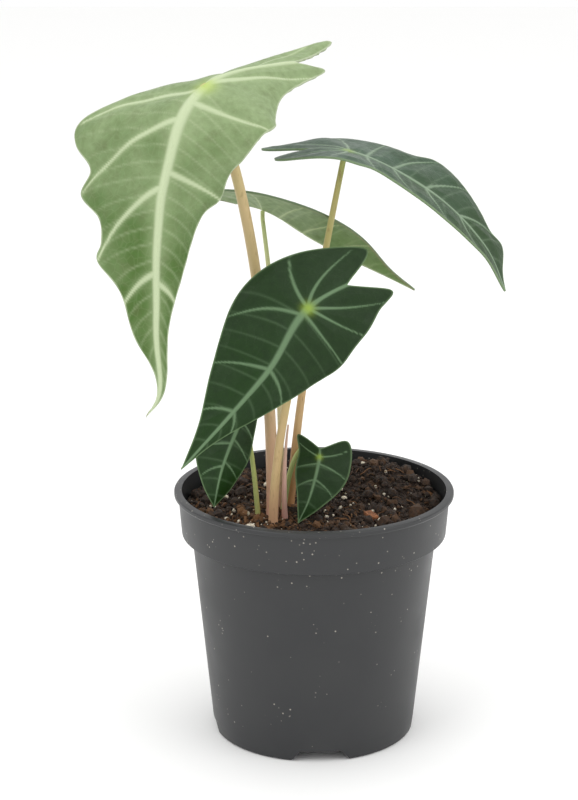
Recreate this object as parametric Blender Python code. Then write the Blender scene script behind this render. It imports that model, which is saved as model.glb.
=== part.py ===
"""Potted alocasia: a nursery pot, its potting mix, and a plant with six blades on six petioles.

Metres, +Z up. The origin is the middle of the pot's foot, and the viewer's side of the plant faces -Y.
Sizes below are in millimetres and are turned into metres where a mesh is made.
"""

import math
import random

import bmesh
import bpy
import numpy as np
from mathutils import Matrix
from mathutils import Vector
from mathutils import noise

MM = 0.001
GAP = 0.3  # clear space between neighbouring pieces

# Pot, a 12 cm round nursery pot moulded in polypropylene
POT_HEIGHT = 108.0
POT_SIDES = 64
WALL = 1.2
RIM_RADIUS = 60.0
COLLAR_TOP_RADIUS = 58.2
COLLAR_FOOT_RADIUS = 56.9
COLLAR_FOOT_HEIGHT = 88.7
LIP_HEIGHT = 2.6
BODY_TOP_RADIUS = 52.5
BASE_RADIUS = 43.7
FLOOR = 1.5
NOTCH_TURN = math.radians(3.75)
NOTCH_COUNT = 4
NOTCH_HEIGHT = 4.6
NOTCH_WIDE = 25.0
NOTCH_NARROW = 17.0
NOTCH_START = 19.0
DRAIN_RADIUS = 3.0
DRAIN_AT = (27.0, 36.0)

# Rings along a petiole, samples on each stretch of a midrib, and how high the mix leaves room round a stem
PETIOLE_RINGS = 22
MIDRIB_STEPS = 16
POCKET_TOP = 112.0

# Potting mix
MIX_LEVEL = 100.6
MIX_RINGS = 14
MIX_SPOKES = 40
CORM_CENTRE = (-15.5, -15.5, 76.0)
CORM_RADIUS = 17.0
CORM_TOP = 86.0

# Each blade is drawn flat and then carried on to its midrib's route. In the flat drawing u runs along the
# midrib from the petiole's joint to the tip, and is negative behind the joint, and v runs across it.
#   midrib       route (x, y, z): a point between the basal lobes, the petiole's joint, then on to the tip
#   faces        the way the upper face looks, at the lobes and at the tip
#   ease         how far along the midrib its heading is averaged, so that cross-sections never cross
#   sinus        how far behind the joint the notch between the lobes starts
#   left, right  margin (u, v) from lobe to tip, at the lobe, the ends of side veins and the hollows between
#   lean         (u, left, right): how many degrees each half rises towards the face
BLADES = {
    "blade_large": {
        "midrib": [
            (4, 12, 291),
            (-44, -30, 285),
            (-60, -50, 247),
            (-63, -58, 196),
            (-62, -58, 168),
            (-68, -54, 155),
        ],
        "faces": [(-1, -3, 9), (1, -8, 3)],
        "ease": 26,
        "sinus": 48,
        "left": [
            (-60, 7),
            (-46, 11),
            (-30, 17),
            (-16, 27),
            (-6, 33),
            (6, 32),
            (22, 29),
            (32, 26),
            (46, 26),
            (56, 19),
            (80, 12),
            (100, 6),
            (122, 3),
        ],
        "right": [
            (-74, 7),
            (-52, 14),
            (-26, 24),
            (-10, 30),
            (0, 34),
            (14, 39),
            (26, 47),
            (35, 45),
            (43, 35),
            (53, 36),
            (61, 26),
            (70, 24),
            (77, 25),
            (88, 15),
            (106, 9),
            (122, 2),
        ],
        "lean": [
            (-75, -30, 25),
            (-50, -30, -10),
            (-20, -22, -40),
            (0, -12, -32),
            (26, -24, -20),
            (50, -35, -22),
            (140, -10, -10),
        ],
        "rows": (9, 18),
        "columns": 5,
        "fan_ends": (4, 5),
        "thickness": 0.9,
    },
    "blade_front": {
        "midrib": [(26, -24, 209), (-3, -41, 197), (-20, -54, 173), (-54, -60, 135)],
        "faces": [(0, -9, 5), (0, -9, 5)],
        "ease": 16,
        "sinus": 20,
        "left": [(-36, 10), (-27, 15), (-14, 22), (10, 26), (26, 21), (44, 13), (65, 4)],
        "right": [(-36, 10), (-15, 20), (8, 26), (26, 25), (46, 18), (66, 7)],
        "lean": [(-36, 0, 0), (0, -15, 0), (26, -42, 0), (80, -45, 0)],
        "rows": (9, 14),
        "columns": 5,
        "fan_ends": (4, 3),
        "thickness": 0.9,
    },
    "blade_right": {
        "midrib": [(-22, 14, 251), (14, 10, 252), (48, 4, 236), (70, 0, 215), (80, -2, 195)],
        "faces": [(3, 0, 9), (3, 0, 9)],
        "ease": 16,
        "sinus": 16,
        "left": [
            (-38, 11),
            (-18, 24),
            (4, 26),
            (22, 23),
            (32, 28),
            (42, 25),
            (60, 15),
            (68, 11),
            (76, 12),
            (84, 4),
        ],
        "right": [(-30, 12), (-18, 19), (4, 25), (14, 17), (26, 17), (44, 16), (60, 12), (78, 5)],
        "lean": [(-36, 0, -8), (0, 4, 0), (24, 14, -4), (60, 22, -10), (90, 25, -10)],
        "rows": (9, 14),
        "columns": 4,
        "fan_ends": (3, 3),
        "thickness": 0.9,
    },
    "blade_back": {
        "midrib": [(-50, 30, 229), (-22, 28, 224), (4, 26, 209), (44, 32, 188)],
        "faces": [(4, 0, 9), (4, 0, 9)],
        "ease": 16,
        "sinus": 12,
        "left": [(-30, 11), (-12, 25), (6, 29), (24, 24), (42, 16), (60, 7)],
        "right": [(-30, 11), (-12, 24), (6, 26), (24, 23), (42, 15), (60, 5)],
        "lean": [(-30, 0, 22), (0, 0, 24), (24, 0, 40), (50, 0, 55), (76, 0, 55)],
        "rows": (9, 14),
        "columns": 4,
        "fan_ends": (3, 3),
        "thickness": 0.9,
    },
    "blade_small_left": {
        "midrib": [(-25, -22, 161), (-30, -28, 148), (-38, -34, 128), (-42, -30, 109)],
        "faces": [(0, -9, 3), (0, -9, 3)],
        "ease": 10,
        "sinus": 5,
        "left": [(-9, 5), (5, 9), (18, 11), (32, 7)],
        "right": [(-13, 10), (5, 15), (18, 15), (33, 7)],
        "lean": [(-12, -35, -20), (20, -35, -20), (40, -30, -10)],
        "rows": (6, 9),
        "columns": 3,
        "fan_ends": (2, 2),
        "thickness": 0.7,
    },
    "blade_small_right": {
        "midrib": [(2, -8, 138), (2, -20, 128), (-2, -28, 113), (-7, -30, 102)],
        "faces": [(0, -9, 5), (0, -9, 5)],
        "ease": 8,
        "sinus": 4,
        "left": [(-9, 12), (3, 14), (11, 12), (20, 6)],
        "right": [(-13, 9), (-3, 9), (8, 9), (20, 5)],
        "lean": [(-10, -10, -10), (10, -15, -10), (28, -10, -10)],
        "rows": (6, 9),
        "columns": 3,
        "fan_ends": (2, 2),
        "thickness": 0.7,
    },
}

# Each petiole is one curve from the corm to its blade: where it starts, the two points that pull it
# their way, and where it ends, then its radius at the foot and at the top.
PETIOLES = {
    "petiole_large": {
        "curve": [(-18, -19, 87), (-16, -18, 160), (-25, 4, 235), (-43, -28, 282)],
        "radii": (2.5, 2.1),
    },
    "petiole_front": {
        "curve": [(-17, -25, 87), (-19, -30, 125), (-11, -31, 160), (-4, -38, 192)],
        "radii": (2.0, 1.5),
    },
    "petiole_right": {
        "curve": [(-11, -7, 87), (-9, -6, 140), (2, 2, 200), (12, 9, 249)],
        "radii": (1.9, 1.2),
    },
    "petiole_back": {
        "curve": [(-16, -12, 87), (-11, -10, 130), (-17, 10, 185), (-22, 26, 220)],
        "radii": (1.4, 0.9),
    },
    "petiole_small_left": {
        "curve": [(-23, -18, 87), (-24, -18, 110), (-26, -22, 132), (-29, -25, 146)],
        "radii": (1.2, 0.9),
    },
    "petiole_small_right": {
        "curve": [(-14, -15, 87), (-13, -14, 118), (-7, -6, 136), (1, -14, 128)],
        "radii": (1.5, 0.8),
    },
    "sheath_pink": {
        "curve": [(-12, -21, 93), (-13, -23, 110), (-13, -24, 128), (-11, -23, 143)],
        "radii": (1.5, 0.4),
    },
}

# Loose grains lying on the mix: (name, x, y, size across, height)
LOOSE = [
    ("perlite_1", -29, -17, 4, 3),
    ("perlite_2", -27, -34, 5, 3),
    ("perlite_3", 28, -27, 4, 3),
    ("perlite_4", 38, -31, 4, 3),
    ("perlite_5", 13, 2, 3, 2),
    ("perlite_6", 2, -44, 4, 3),
    ("perlite_7", -37, -22, 3, 2),
    ("perlite_8", 22, 30, 3, 2),
    ("perlite_9", -20, 22, 4, 3),
    ("perlite_10", -38, 6, 3, 2),
]
BARK_AT = (24.0, -20.0)
BARK_SIZE = (4.0, 8.5, 2.6)
BARK_TURN = math.radians(20)
BARK_WEAR = 0.6


def clear_scene():
    """Removes every object the file starts with."""
    for old in list(bpy.data.objects):
        bpy.data.objects.remove(old, do_unlink=True)


def material(name, colour, roughness, metallic=0.0):
    made = bpy.data.materials.new(name)
    made.use_nodes = True
    shader = made.node_tree.nodes["Principled BSDF"]
    shader.inputs["Base Color"].default_value = (*colour, 1.0)
    shader.inputs["Roughness"].default_value = roughness
    shader.inputs["Metallic"].default_value = metallic
    return made


def new_object(name, mesh_builder, look):
    """Turns a bmesh held in millimetres into an object in metres."""
    bmesh.ops.scale(mesh_builder, vec=(MM, MM, MM), verts=mesh_builder.verts)
    bmesh.ops.recalc_face_normals(mesh_builder, faces=mesh_builder.faces)
    mesh = bpy.data.meshes.new(name)
    mesh_builder.to_mesh(mesh)
    mesh_builder.free()
    made = bpy.data.objects.new(name, mesh)
    bpy.context.scene.collection.objects.link(made)
    if look is not None:
        mesh.materials.append(look)
    return made


def as_cutter(cutter):
    cutter.hide_render = True
    cutter.display_type = "WIRE"


def cut(target, cutter, operation="DIFFERENCE"):
    boolean = target.modifiers.new(operation.title() + "_" + cutter.name, "BOOLEAN")
    boolean.object = cutter
    boolean.operation = operation
    boolean.solver = "EXACT"
    as_cutter(cutter)


def turned(name, profile, sides, look=None):
    """A solid turned about Z from a profile of (radius, height) that starts and ends on the axis."""
    builder = bmesh.new()
    points = [builder.verts.new((radius, 0.0, height)) for radius, height in profile]
    edges = [builder.edges.new(pair) for pair in zip(points, points[1:])]
    bmesh.ops.spin(
        builder,
        geom=points + edges,
        cent=(0, 0, 0),
        axis=(0, 0, 1),
        angle=math.tau,
        steps=sides,
        use_merge=True,
        use_duplicate=False,
    )
    bmesh.ops.remove_doubles(builder, verts=builder.verts, dist=0.001)
    return new_object(name, builder, look)


def channel_block(name, spread, start, end):
    """Four radial trapezoid bars, as one cutter each, joined in one object."""
    builder = bmesh.new()
    for index in range(NOTCH_COUNT):
        turn = NOTCH_TURN + index * math.tau / NOTCH_COUNT - math.pi / 2
        outward = Vector((math.cos(turn), math.sin(turn), 0))
        across = Vector((-outward.y, outward.x, 0))
        wide = NOTCH_WIDE / 2 + spread
        narrow = NOTCH_NARROW / 2 + spread
        top = NOTCH_HEIGHT + spread
        flare = (wide - narrow) / (NOTCH_HEIGHT + spread)
        low = -2.0
        section = [(-wide - flare * 2, low), (wide + flare * 2, low), (narrow, top), (-narrow, top)]
        ends = []
        for reach in (start - spread, end):
            corners = [outward * reach + across * side + Vector((0, 0, z)) for side, z in section]
            ends.append([builder.verts.new(corner) for corner in corners])
        builder.faces.new(ends[0])
        builder.faces.new(ends[1][::-1])
        for step in range(4):
            after = (step + 1) % 4
            builder.faces.new((ends[0][step], ends[1][step], ends[1][after], ends[0][after]))
    return new_object(name, builder, None)


def drain_cutters():
    builder = bmesh.new()
    for index in range(NOTCH_COUNT):
        turn = NOTCH_TURN + index * math.tau / NOTCH_COUNT - math.pi / 2
        for reach in DRAIN_AT:
            made = bmesh.ops.create_cone(
                builder,
                cap_ends=True,
                segments=12,
                radius1=DRAIN_RADIUS,
                radius2=DRAIN_RADIUS,
                depth=6.0,
            )
            centre = (math.cos(turn) * reach, math.sin(turn) * reach, NOTCH_HEIGHT + 0.5)
            bmesh.ops.translate(builder, vec=centre, verts=made["verts"])
    return new_object("cut_drains", builder, None)


def inner_profile(shrink):
    """The pot's inner face, moved inwards by shrink, from the floor's middle to above the rim."""
    return [
        (0.0, FLOOR + shrink),
        (BASE_RADIUS - WALL - shrink, FLOOR + shrink),
        (BODY_TOP_RADIUS - WALL - shrink, COLLAR_FOOT_HEIGHT - 0.6),
        (COLLAR_FOOT_RADIUS - WALL - shrink, COLLAR_FOOT_HEIGHT + 1.4),
    ]


def build_pot(look):
    outer = [
        (0.0, 0.0),
        (BASE_RADIUS - 0.8, 0.0),
        (BASE_RADIUS, 0.8),
        (BODY_TOP_RADIUS, COLLAR_FOOT_HEIGHT - 1.2),
        (COLLAR_FOOT_RADIUS - 0.5, COLLAR_FOOT_HEIGHT),
        (COLLAR_FOOT_RADIUS, COLLAR_FOOT_HEIGHT + 0.8),
        (COLLAR_TOP_RADIUS, POT_HEIGHT - LIP_HEIGHT),
        (RIM_RADIUS - 0.5, POT_HEIGHT - LIP_HEIGHT + 0.2),
        (RIM_RADIUS, POT_HEIGHT - LIP_HEIGHT + 0.9),
        (RIM_RADIUS, POT_HEIGHT - 0.6),
        (RIM_RADIUS - 0.7, POT_HEIGHT),
        (COLLAR_TOP_RADIUS - WALL, POT_HEIGHT),
        (0.0, POT_HEIGHT),
    ]
    pot = turned("pot", outer, POT_SIDES, look)
    inner = inner_profile(0.0) + [(COLLAR_TOP_RADIUS - WALL, POT_HEIGHT + 4), (0.0, POT_HEIGHT + 4)]
    hollow = turned("cut_pot_inside", inner, POT_SIDES)
    cut(hollow, channel_block("cut_channel_roofs", WALL, NOTCH_START, BASE_RADIUS + 20))
    cut(pot, hollow)
    cut(pot, channel_block("cut_channels", 0.0, NOTCH_START, BASE_RADIUS + 20))
    cut(pot, drain_cutters())
    return pot


def mix_height(x, y):
    """Height of the mix's surface: nearly level, heaped at the back right and low against the right wall."""
    heap = 8.5 * math.exp(-((x - 27) ** 2 + (y - 27) ** 2) / 420.0)
    low = 3.0 * math.exp(-((x - 52) ** 2 + (y + 4) ** 2) / 160.0)
    rough = 1.1 * noise.noise(Vector((x * 0.09, y * 0.09, 3.0)))
    return MIX_LEVEL + heap - low + rough


def build_mix(look, roots):
    """Potting mix: rings with an uneven top, holes for the roots, and room for the channel roofs."""
    builder = bmesh.new()
    top_radius = COLLAR_FOOT_RADIUS - WALL - GAP - 0.1
    rings = []
    for ring in range(1, MIX_RINGS + 1):
        radius = top_radius * ring / MIX_RINGS
        loop = []
        for spoke in range(MIX_SPOKES):
            angle = math.tau * spoke / MIX_SPOKES
            x, y = radius * math.cos(angle), radius * math.sin(angle)
            loop.append(builder.verts.new((x, y, mix_height(x, y))))
        rings.append(loop)
    for radius, height in inner_profile(GAP + 0.1)[:0:-1]:
        loop = []
        for spoke in range(MIX_SPOKES):
            angle = math.tau * spoke / MIX_SPOKES
            loop.append(builder.verts.new((radius * math.cos(angle), radius * math.sin(angle), height)))
        rings.append(loop)
    for near, far in zip(rings, rings[1:]):
        for spoke in range(MIX_SPOKES):
            after = (spoke + 1) % MIX_SPOKES
            builder.faces.new((near[spoke], near[after], far[after], far[spoke]))
    top = builder.verts.new((0, 0, mix_height(0, 0)))
    bottom = builder.verts.new((0, 0, FLOOR + GAP + 0.1))
    for centre, loop in ((top, rings[0]), (bottom, rings[-1])):
        for spoke in range(MIX_SPOKES):
            builder.faces.new((centre, loop[spoke], loop[(spoke + 1) % MIX_SPOKES]))
    mix = new_object("potting_mix", builder, look)
    cut(mix, channel_block("cut_mix_channels", WALL + GAP, NOTCH_START, BASE_RADIUS + 20))
    for root in roots:
        cut(mix, root)
    return mix


def build_corm(name, grow, look=None):
    """The hidden rootstock: a ball with a flat crown, grown by a margin for its pocket in the mix."""
    builder = bmesh.new()
    bmesh.ops.create_uvsphere(builder, u_segments=20, v_segments=12, radius=CORM_RADIUS + grow)
    bmesh.ops.translate(builder, vec=CORM_CENTRE, verts=builder.verts)
    geometry = builder.verts[:] + builder.edges[:] + builder.faces[:]
    crown = (0, 0, CORM_TOP + (0.5 if grow else 0.0))
    bmesh.ops.bisect_plane(builder, geom=geometry, plane_co=crown, plane_no=(0, 0, 1), clear_outer=True)
    bmesh.ops.contextual_create(builder, geom=[edge for edge in builder.edges if edge.is_boundary])
    return new_object(name, builder, look)


def smooth_path(points, steps):
    """A Catmull-Rom curve through points of any dimension, with steps samples per stretch."""
    given = np.array(points, float)
    padded = np.vstack([2 * given[0] - given[1], given, 2 * given[-1] - given[-2]])
    found = []
    for first in range(len(given) - 1):
        before, start, end, after = padded[first : first + 4]
        for t in np.linspace(0, 1, steps, endpoint=False):
            linear = (end - before) * t
            square = (2 * before - 5 * start + 4 * end - after) * t**2
            cube = (3 * start - before - 3 * end + after) * t**3
            found.append(0.5 * (2 * start + linear + square + cube))
    found.append(given[-1])
    return np.array(found)


def tapered(petiole):
    """A petiole's curve as (x, y, z, radius) rows, its radius changing evenly from foot to top."""
    start, leaving, arriving, end = np.array(petiole["curve"], float)
    t = np.linspace(0, 1, PETIOLE_RINGS)[:, None]
    route = start * (1 - t) ** 3 + 3 * leaving * t * (1 - t) ** 2 + 3 * arriving * t**2 * (1 - t) + end * t**3
    foot, top = petiole["radii"]
    return np.column_stack([route, np.linspace(foot, top, PETIOLE_RINGS)])


def build_tube(name, rows, grow=0.0, sides=10, look=None):
    """A round stem along rows of (x, y, z, radius), closed at both ends."""
    builder = bmesh.new()
    rings = []
    direction = Vector(rows[1][:3] - rows[0][:3]).normalized()
    side = direction.orthogonal().normalized()
    for index, (x, y, z, radius) in enumerate(rows):
        ahead = rows[min(index + 1, len(rows) - 1)][:3] - rows[max(index - 1, 0)][:3]
        heading = Vector(ahead).normalized()
        side = (direction.rotation_difference(heading) @ side).normalized()
        direction = heading
        up = direction.cross(side)
        loop = []
        for step in range(sides):
            angle = math.tau * step / sides
            offset = (side * math.cos(angle) + up * math.sin(angle)) * (radius + grow)
            loop.append(builder.verts.new(Vector((x, y, z)) + offset))
        rings.append(loop)
    for near, far in zip(rings, rings[1:]):
        for step in range(sides):
            after = (step + 1) % sides
            builder.faces.new((near[step], near[after], far[after], far[step]))
    builder.faces.new(rings[0])
    builder.faces.new(rings[-1])
    return new_object(name, builder, look)


def root_cutters():
    """Pockets in the mix: one for the corm, and one round the buried foot of each stem."""
    pockets = [build_corm("cut_pocket_corm", GAP + 0.1)]
    for name, petiole in PETIOLES.items():
        rows = tapered(petiole)
        buried = rows[rows[:, 2] < POCKET_TOP]
        below = buried[0] - [0, 0, 2, 0]
        pockets.append(build_tube("cut_pocket_" + name, np.vstack([below, buried]), GAP + 0.15))
    return pockets


def along(reach, values, u):
    """Rows of values read at distances u along a route whose own distances are reach."""
    return np.stack([np.interp(u, reach, column) for column in values.T], axis=1)


def unit(rows):
    return rows / np.linalg.norm(rows, axis=1)[:, None]


def midrib(shape):
    """The midrib's smooth route, and the distance of each of its points from the petiole's joint."""
    route = smooth_path(shape["midrib"], MIDRIB_STEPS)
    reach = np.concatenate([[0.0], np.cumsum(np.linalg.norm(np.diff(route, axis=0), axis=1))])
    return route, reach - reach[MIDRIB_STEPS]


def bent(shape, flat):
    """Carries flat (u, v) points on to the blade's surface in space. Positive v is the left half."""
    u, v = np.atleast_2d(np.array(flat, float)).T
    route, reach = midrib(shape)
    past = np.minimum(u - reach[0], 0.0)[:, None]
    start = along(reach, route, u) + past * unit(route[1:2] - route[0:1])
    heading = unit(along(reach, route, u + shape["ease"]) - along(reach, route, u - shape["ease"]))
    share = np.interp(u, [reach[0], reach[-1]], [0.0, 1.0])[:, None]
    at_lobes, at_tip = unit(np.array(shape["faces"], float))
    face = unit(at_lobes * (1 - share) + at_tip * share)
    normal = unit(face - (heading * face).sum(axis=1)[:, None] * heading)
    to_left = np.cross(normal, heading)
    leans = smooth_path(shape["lean"], 8)
    left_lean, right_lean = along(leans[:, 0], leans[:, 1:], u).T
    lean = np.radians(np.where(v > 0, left_lean, right_lean))
    return start + (v * np.cos(lean))[:, None] * to_left + (np.abs(v) * np.sin(lean))[:, None] * normal


def resample(line, count):
    """Count points evenly spaced along a polyline, ends included."""
    reach = np.concatenate([[0.0], np.cumsum(np.linalg.norm(np.diff(line, axis=0), axis=1))])
    return along(reach, line, np.linspace(0, reach[-1], count))


def half_rows(shape, side, fan_end):
    """Flat (inner, margin) ends of each row of one half: a fan round the petiole, then ribs to the tip."""
    sign = 1 if side == "left" else -1
    length = midrib(shape)[1][-1]
    flats = [(-shape["sinus"], 0)] + [(u, sign * v) for u, v in shape[side]] + [(length, 0)]
    margin = smooth_path(flats, 8)
    split = 8 * fan_end
    fan_rows, rib_rows = shape["rows"]
    rows = [((0.0, 0.0), tuple(point)) for point in resample(margin[: split + 1], fan_rows)]
    ribs = resample(margin[split:], rib_rows)[1:]
    for index, point in enumerate(ribs, 1):
        inner = length * (index / len(ribs)) ** 1.1
        rows.append(((inner, 0.0), tuple(point)))
    return rows


def build_blade(name, shape, look):
    """A blade: two ribbed halves drawn flat, carried on to the midrib's route, then thickened."""
    builder = bmesh.new()
    columns = shape["columns"]
    for side, fan_end in zip(("left", "right"), shape["fan_ends"]):
        grid = []
        for inner, outer in half_rows(shape, side, fan_end):
            steps = np.linspace(0, 1, columns + 1)[:, None]
            flat = np.array(inner) * (1 - steps) + np.array(outer) * steps
            grid.append([builder.verts.new(point) for point in bent(shape, flat)])
        for near, far in zip(grid, grid[1:]):
            for step in range(columns):
                corners = (near[step], near[step + 1], far[step + 1], far[step])
                builder.faces.new(corners if side == "left" else corners[::-1])
    bmesh.ops.remove_doubles(builder, verts=builder.verts, dist=0.02)
    blade = new_object(name, builder, look)
    solid = blade.modifiers.new("Thickness", "SOLIDIFY")
    solid.thickness = shape["thickness"] * MM
    solid.offset = 0.0
    return blade


def build_grain(name, centre, size, seed, look):
    """A lumpy grain: a ball pushed in and out at random."""
    builder = bmesh.new()
    bmesh.ops.create_icosphere(builder, subdivisions=1, radius=0.5)
    shake = random.Random(seed)
    for vertex in builder.verts:
        vertex.co *= shake.uniform(0.88, 1.05)
        vertex.co.x *= size[0]
        vertex.co.y *= size[1]
        vertex.co.z *= size[2]
        vertex.co += Vector(centre)
    return new_object(name, builder, look)


def highest_mix(x, y, reach):
    """The highest point of the mix's surface under a patch."""
    steps = (-reach, 0.0, reach)
    return max(mix_height(x + dx, y + dy) for dx in steps for dy in steps)


def build_bark(look):
    """A flat chip of bark with worn edges, lying on the mix."""
    x, y = BARK_AT
    rest = highest_mix(x, y, BARK_SIZE[1] / 2) + GAP + 0.15 + BARK_SIZE[2] / 2
    builder = bmesh.new()
    bmesh.ops.create_cube(builder, size=1.0)
    bmesh.ops.scale(builder, vec=BARK_SIZE, verts=builder.verts)
    bmesh.ops.bevel(builder, geom=builder.edges[:], offset=BARK_WEAR, segments=1, affect="EDGES")
    turn = Matrix.Rotation(BARK_TURN, 3, "Z")
    bmesh.ops.rotate(builder, cent=(0, 0, 0), matrix=turn, verts=builder.verts)
    bmesh.ops.translate(builder, vec=(x, y, rest), verts=builder.verts)
    new_object("bark_chip", builder, look)


def build_perlite(look):
    """The loose grains, each a clear gap above the mix."""
    for seed, (name, x, y, across, height) in enumerate(LOOSE):
        rest = highest_mix(x, y, across / 2) + GAP + 0.15 + height * 0.5 * 1.05
        build_grain(name, (x, y, rest), (across, across * 0.85, height), seed, look)


def main():
    clear_scene()
    plastic = material("polypropylene_grey", (0.075, 0.075, 0.08), 0.45)
    peat = material("peat_mix", (0.055, 0.035, 0.025), 0.95)
    flesh = material("corm_skin", (0.32, 0.2, 0.12), 0.8)
    pale_leaf = material("leaf_pale_green", (0.23, 0.33, 0.13), 0.45)
    dark_leaf = material("leaf_dark_green", (0.03, 0.085, 0.025), 0.4)
    stem = material("petiole_tan", (0.5, 0.4, 0.2), 0.5)
    pink = material("sheath_pink", (0.6, 0.3, 0.25), 0.5)
    perlite = material("perlite", (0.8, 0.78, 0.72), 0.9)
    bark = material("bark_brown", (0.35, 0.17, 0.07), 0.85)
    build_pot(plastic)
    build_mix(peat, root_cutters())
    build_corm("corm", 0.0, flesh)
    for name, petiole in PETIOLES.items():
        build_tube(name, tapered(petiole), look=pink if name == "sheath_pink" else stem)
    for name, shape in BLADES.items():
        build_blade(name, shape, pale_leaf if name in ("blade_large", "blade_back") else dark_leaf)
    build_perlite(perlite)
    build_bark(bark)


main()
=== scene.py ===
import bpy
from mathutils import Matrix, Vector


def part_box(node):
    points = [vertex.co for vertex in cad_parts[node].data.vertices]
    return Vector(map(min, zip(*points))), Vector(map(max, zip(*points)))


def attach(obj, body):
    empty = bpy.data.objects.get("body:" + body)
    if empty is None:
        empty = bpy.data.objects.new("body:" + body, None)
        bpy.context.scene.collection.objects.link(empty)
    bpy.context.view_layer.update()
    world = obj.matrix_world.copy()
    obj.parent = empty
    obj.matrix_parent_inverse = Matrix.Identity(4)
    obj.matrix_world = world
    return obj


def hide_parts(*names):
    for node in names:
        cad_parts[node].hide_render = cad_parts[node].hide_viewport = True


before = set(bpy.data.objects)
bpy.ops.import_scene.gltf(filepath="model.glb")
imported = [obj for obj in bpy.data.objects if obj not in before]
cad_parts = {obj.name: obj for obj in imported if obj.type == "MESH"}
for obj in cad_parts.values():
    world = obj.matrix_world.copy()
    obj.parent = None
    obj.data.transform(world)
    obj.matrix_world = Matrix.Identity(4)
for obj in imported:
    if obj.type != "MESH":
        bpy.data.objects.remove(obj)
"""Looks for a young potted alocasia: six ribbed blades on stalks, rising from peat in a pot.

The design sizes are in millimetres, and one function turns a finished mesh into metres. The flat
drawing of each blade is the one that the part is made from, drawn finer here, with its veins and
its quilting added.
"""

import logging
import math
import random
from collections.abc import Sequence
from dataclasses import dataclass, field
from enum import Enum

import bmesh
import bpy
import numpy as np
from mathutils import Vector, noise

MM = 0.001
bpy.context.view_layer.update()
BODY = "root"
LOG = logging.getLogger("alocasia")

# How finely the blades and the stalks are drawn.
OUTLINE_STEPS = 8
SPINE_STEPS = 16
VEIN_SAMPLES = 48
STALK_SAMPLES = 60
MARGIN_SAMPLES = 260
# One unit of a blade's flat map, and the step over which its slope is read.
FLAT_UNIT = 100.0
SLOPE_STEP = 0.4
# How wide the pale rim and the thin veins are, and how far the relief takes to rise.
RIM_WIDTH = 0.6
FINE_WIDTH = 0.45
RELIEF_FADE = 4.0
QUILT_RISE = 3.5

Point = tuple[float, float, float]
Flat = tuple[float, float]
Colour = tuple[float, float, float, float]
Socket = bpy.types.NodeSocket
Value = Socket | float | Colour | Point
WHOLE: Flat = (0.0, 1.0)


class Half(Enum):
    """The two halves of a blade, by the sign of v in the flat drawing."""

    LEFT = 1
    RIGHT = -1


# ------------------------------ helpers


def srgb(code: str) -> Colour:
    """Turn a colour from sRGB hex to linear.

    Args:
        code: six hex digits after a hash.

    Returns:
        Linear red, green, blue and an alpha of 1.
    """
    parts = [int(code[start : start + 2], 16) / 255 for start in (1, 3, 5)]
    linear = [p / 12.92 if p <= 0.04045 else ((p + 0.055) / 1.055) ** 2.4 for p in parts]
    return (*linear, 1.0)


def add_node(
    tree: bpy.types.NodeTree,
    kind: str,
    inputs: dict[str | int, Value] | None = None,
    **settings: str,
) -> bpy.types.Node:
    """Add a node, set its options, and fill or link its inputs.

    Args:
        tree: the material's node tree.
        kind: the node's type without its ShaderNode prefix.
        inputs: values by socket name or number; a socket given as a value is linked.
        settings: the node's own options.

    Returns:
        The new node.
    """
    node = tree.nodes.new("ShaderNode" + kind)
    for name, value in settings.items():
        setattr(node, name, value)
    for key, value in (inputs or {}).items():
        if isinstance(value, bpy.types.NodeSocket):
            tree.links.new(value, node.inputs[key])
        else:
            node.inputs[key].default_value = value
    return node


def new_material(name: str) -> tuple[bpy.types.Material, bpy.types.NodeTree, bpy.types.Node]:
    """Make a material that holds only its Principled shader.

    Args:
        name: the finish's name.

    Returns:
        The material, its tree and its shader node.
    """
    made = bpy.data.materials.new(name)
    made.use_nodes = True
    return made, made.node_tree, made.node_tree.nodes["Principled BSDF"]


@dataclass(frozen=True)
class Coat:
    """Colour, roughness and relief that follow textures or attributes.

    Each layer has a source, the range it comes in, the share of the layer at that range's ends, and
    the colour it lays over those before it. The roughness follows its source in the same way.
    """

    base: str
    layers: list[tuple[Socket, Flat, Flat, str]]
    rough: tuple[Socket, Flat, Flat]
    height: Socket
    depth: float
    strength: float

    def lay(self, tree: bpy.types.NodeTree) -> None:
        """Wire the coat to a tree's shader.

        Args:
            tree: the material's node tree.
        """
        sources = [layer[:3] for layer in self.layers] + [self.rough]
        shares = [
            add_node(tree, "MapRange", {0: source, 1: low, 2: high, 3: first, 4: last}).outputs[0]
            for source, (low, high), (first, last) in sources
        ]
        colour: Value = srgb(self.base)
        for share, layer in zip(shares, self.layers):
            inputs = {0: share, 6: colour, 7: srgb(layer[3])}
            colour = add_node(tree, "Mix", inputs, data_type="RGBA").outputs[2]
        inputs = {"Height": self.height, "Distance": self.depth * MM, "Strength": self.strength}
        relief = add_node(tree, "Bump", inputs).outputs[0]
        shader = tree.nodes["Principled BSDF"]
        for name, made in (("Base Color", colour), ("Roughness", shares[-1]), ("Normal", relief)):
            tree.links.new(made, shader.inputs[name])


def deselect() -> None:
    """Leave nothing selected, so that an operator acts only on its own piece."""
    if bpy.context.mode != "OBJECT":
        bpy.ops.object.mode_set(mode="OBJECT")
    bpy.ops.object.select_all(action="DESELECT")


def make_active(piece: bpy.types.Object) -> None:
    """Select one piece alone and make it active.

    Args:
        piece: the object that the next operator acts on.
    """
    deselect()
    piece.select_set(True)
    bpy.context.view_layer.objects.active = piece


def in_metres(piece: bpy.types.Object) -> None:
    """Turn a mesh drawn in millimetres into metres, with its place in its mesh.

    Args:
        piece: the object, still in millimetres.
    """
    make_active(piece)
    piece.scale = (MM, MM, MM)
    bpy.ops.object.transform_apply(location=True, rotation=True, scale=True)


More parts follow.
